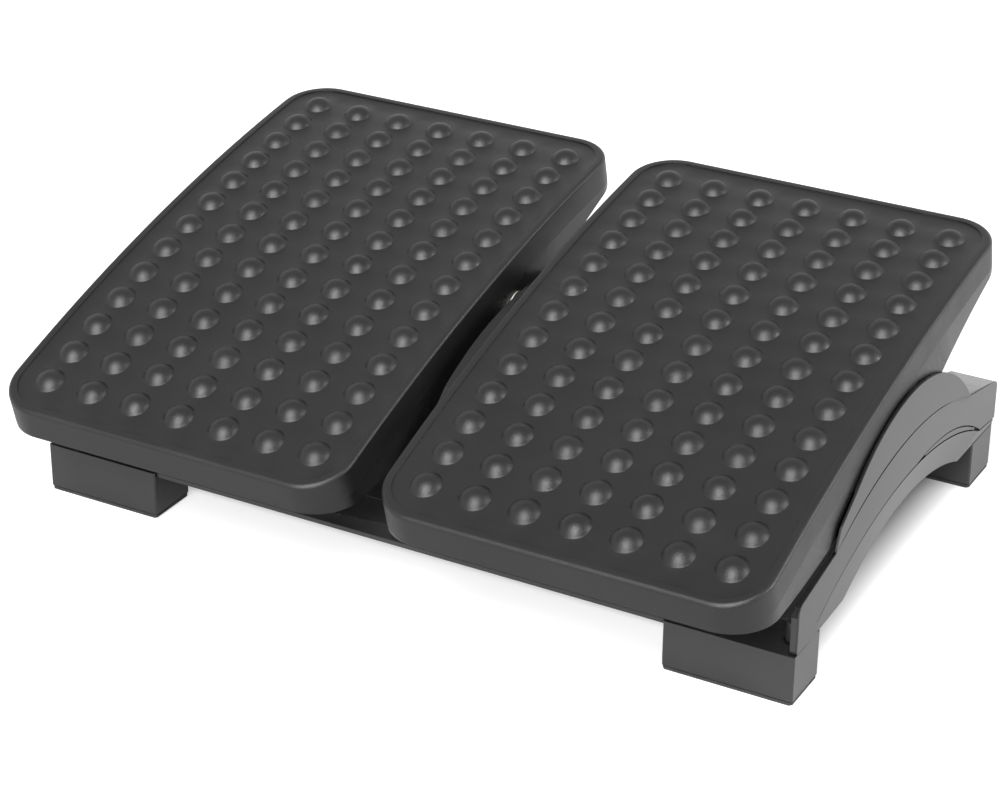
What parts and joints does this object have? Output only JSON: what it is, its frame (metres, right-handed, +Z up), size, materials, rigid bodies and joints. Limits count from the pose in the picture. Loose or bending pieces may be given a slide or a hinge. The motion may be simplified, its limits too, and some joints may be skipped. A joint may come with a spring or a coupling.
{
  "type": "tilting under desk footrest",
  "caption": "Under desk footrest with two studded foot plates that rock side by side on one shaft over a low arched frame.",
  "frame": {"origin": "centre of the footprint, on the floor under the pads", "axes": "+X to the sitter's right, +Y away from the sitter, +Z up"},
  "size_m": [0.4526, 0.329, 0.1543],
  "materials": {
    "plate_plastic": "fine-grained black moulding",
    "frame_plastic": "fine-grained charcoal moulding",
    "pad_rubber": "matt black rubber",
    "shaft_steel": "turned steel bar",
    "bearing_plastic": "natural bearing plastic",
    "screw_steel": "zinc-plated steel"
  },
  "bodies": {
    "base": {"front_cross_beam": "frame_plastic", "rear_cross_beam": "frame_plastic", "right_side_panel": "frame_plastic", "left_side_panel": "frame_plastic", "centre_support": "frame_plastic", "pivot_shaft": "shaft_steel", "right_thrust_washers": "bearing_plastic", "left_thrust_washers": "bearing_plastic", "front_right_foot_pad": "pad_rubber", "front_left_foot_pad": "pad_rubber", "rear_right_foot_pad": "pad_rubber", "rear_left_foot_pad": "pad_rubber", "right_panel_screws": "screw_steel", "left_panel_screws": "screw_steel", "centre_support_screws": "screw_steel"},
    "right_plate": {"right_foot_plate": "plate_plastic", "right_inner_bush": "bearing_plastic", "right_outer_bush": "bearing_plastic"},
    "left_plate": {"left_foot_plate": "plate_plastic", "left_inner_bush": "bearing_plastic", "left_outer_bush": "bearing_plastic"}
  },
  "joints": [
    {"name": "right_plate_tilt", "type": "hinge", "parent": "base", "child": "right_plate", "pos_m": [0.1149, 0.02573, 0.1001], "axis": [1, 0, 0], "range_deg": [-28, 0]},
    {"name": "left_plate_tilt", "type": "hinge", "parent": "base", "child": "left_plate", "pos_m": [-0.1149, 0.02573, 0.1001], "axis": [1, 0, 0], "range_deg": [-28, 0]}
  ]
}
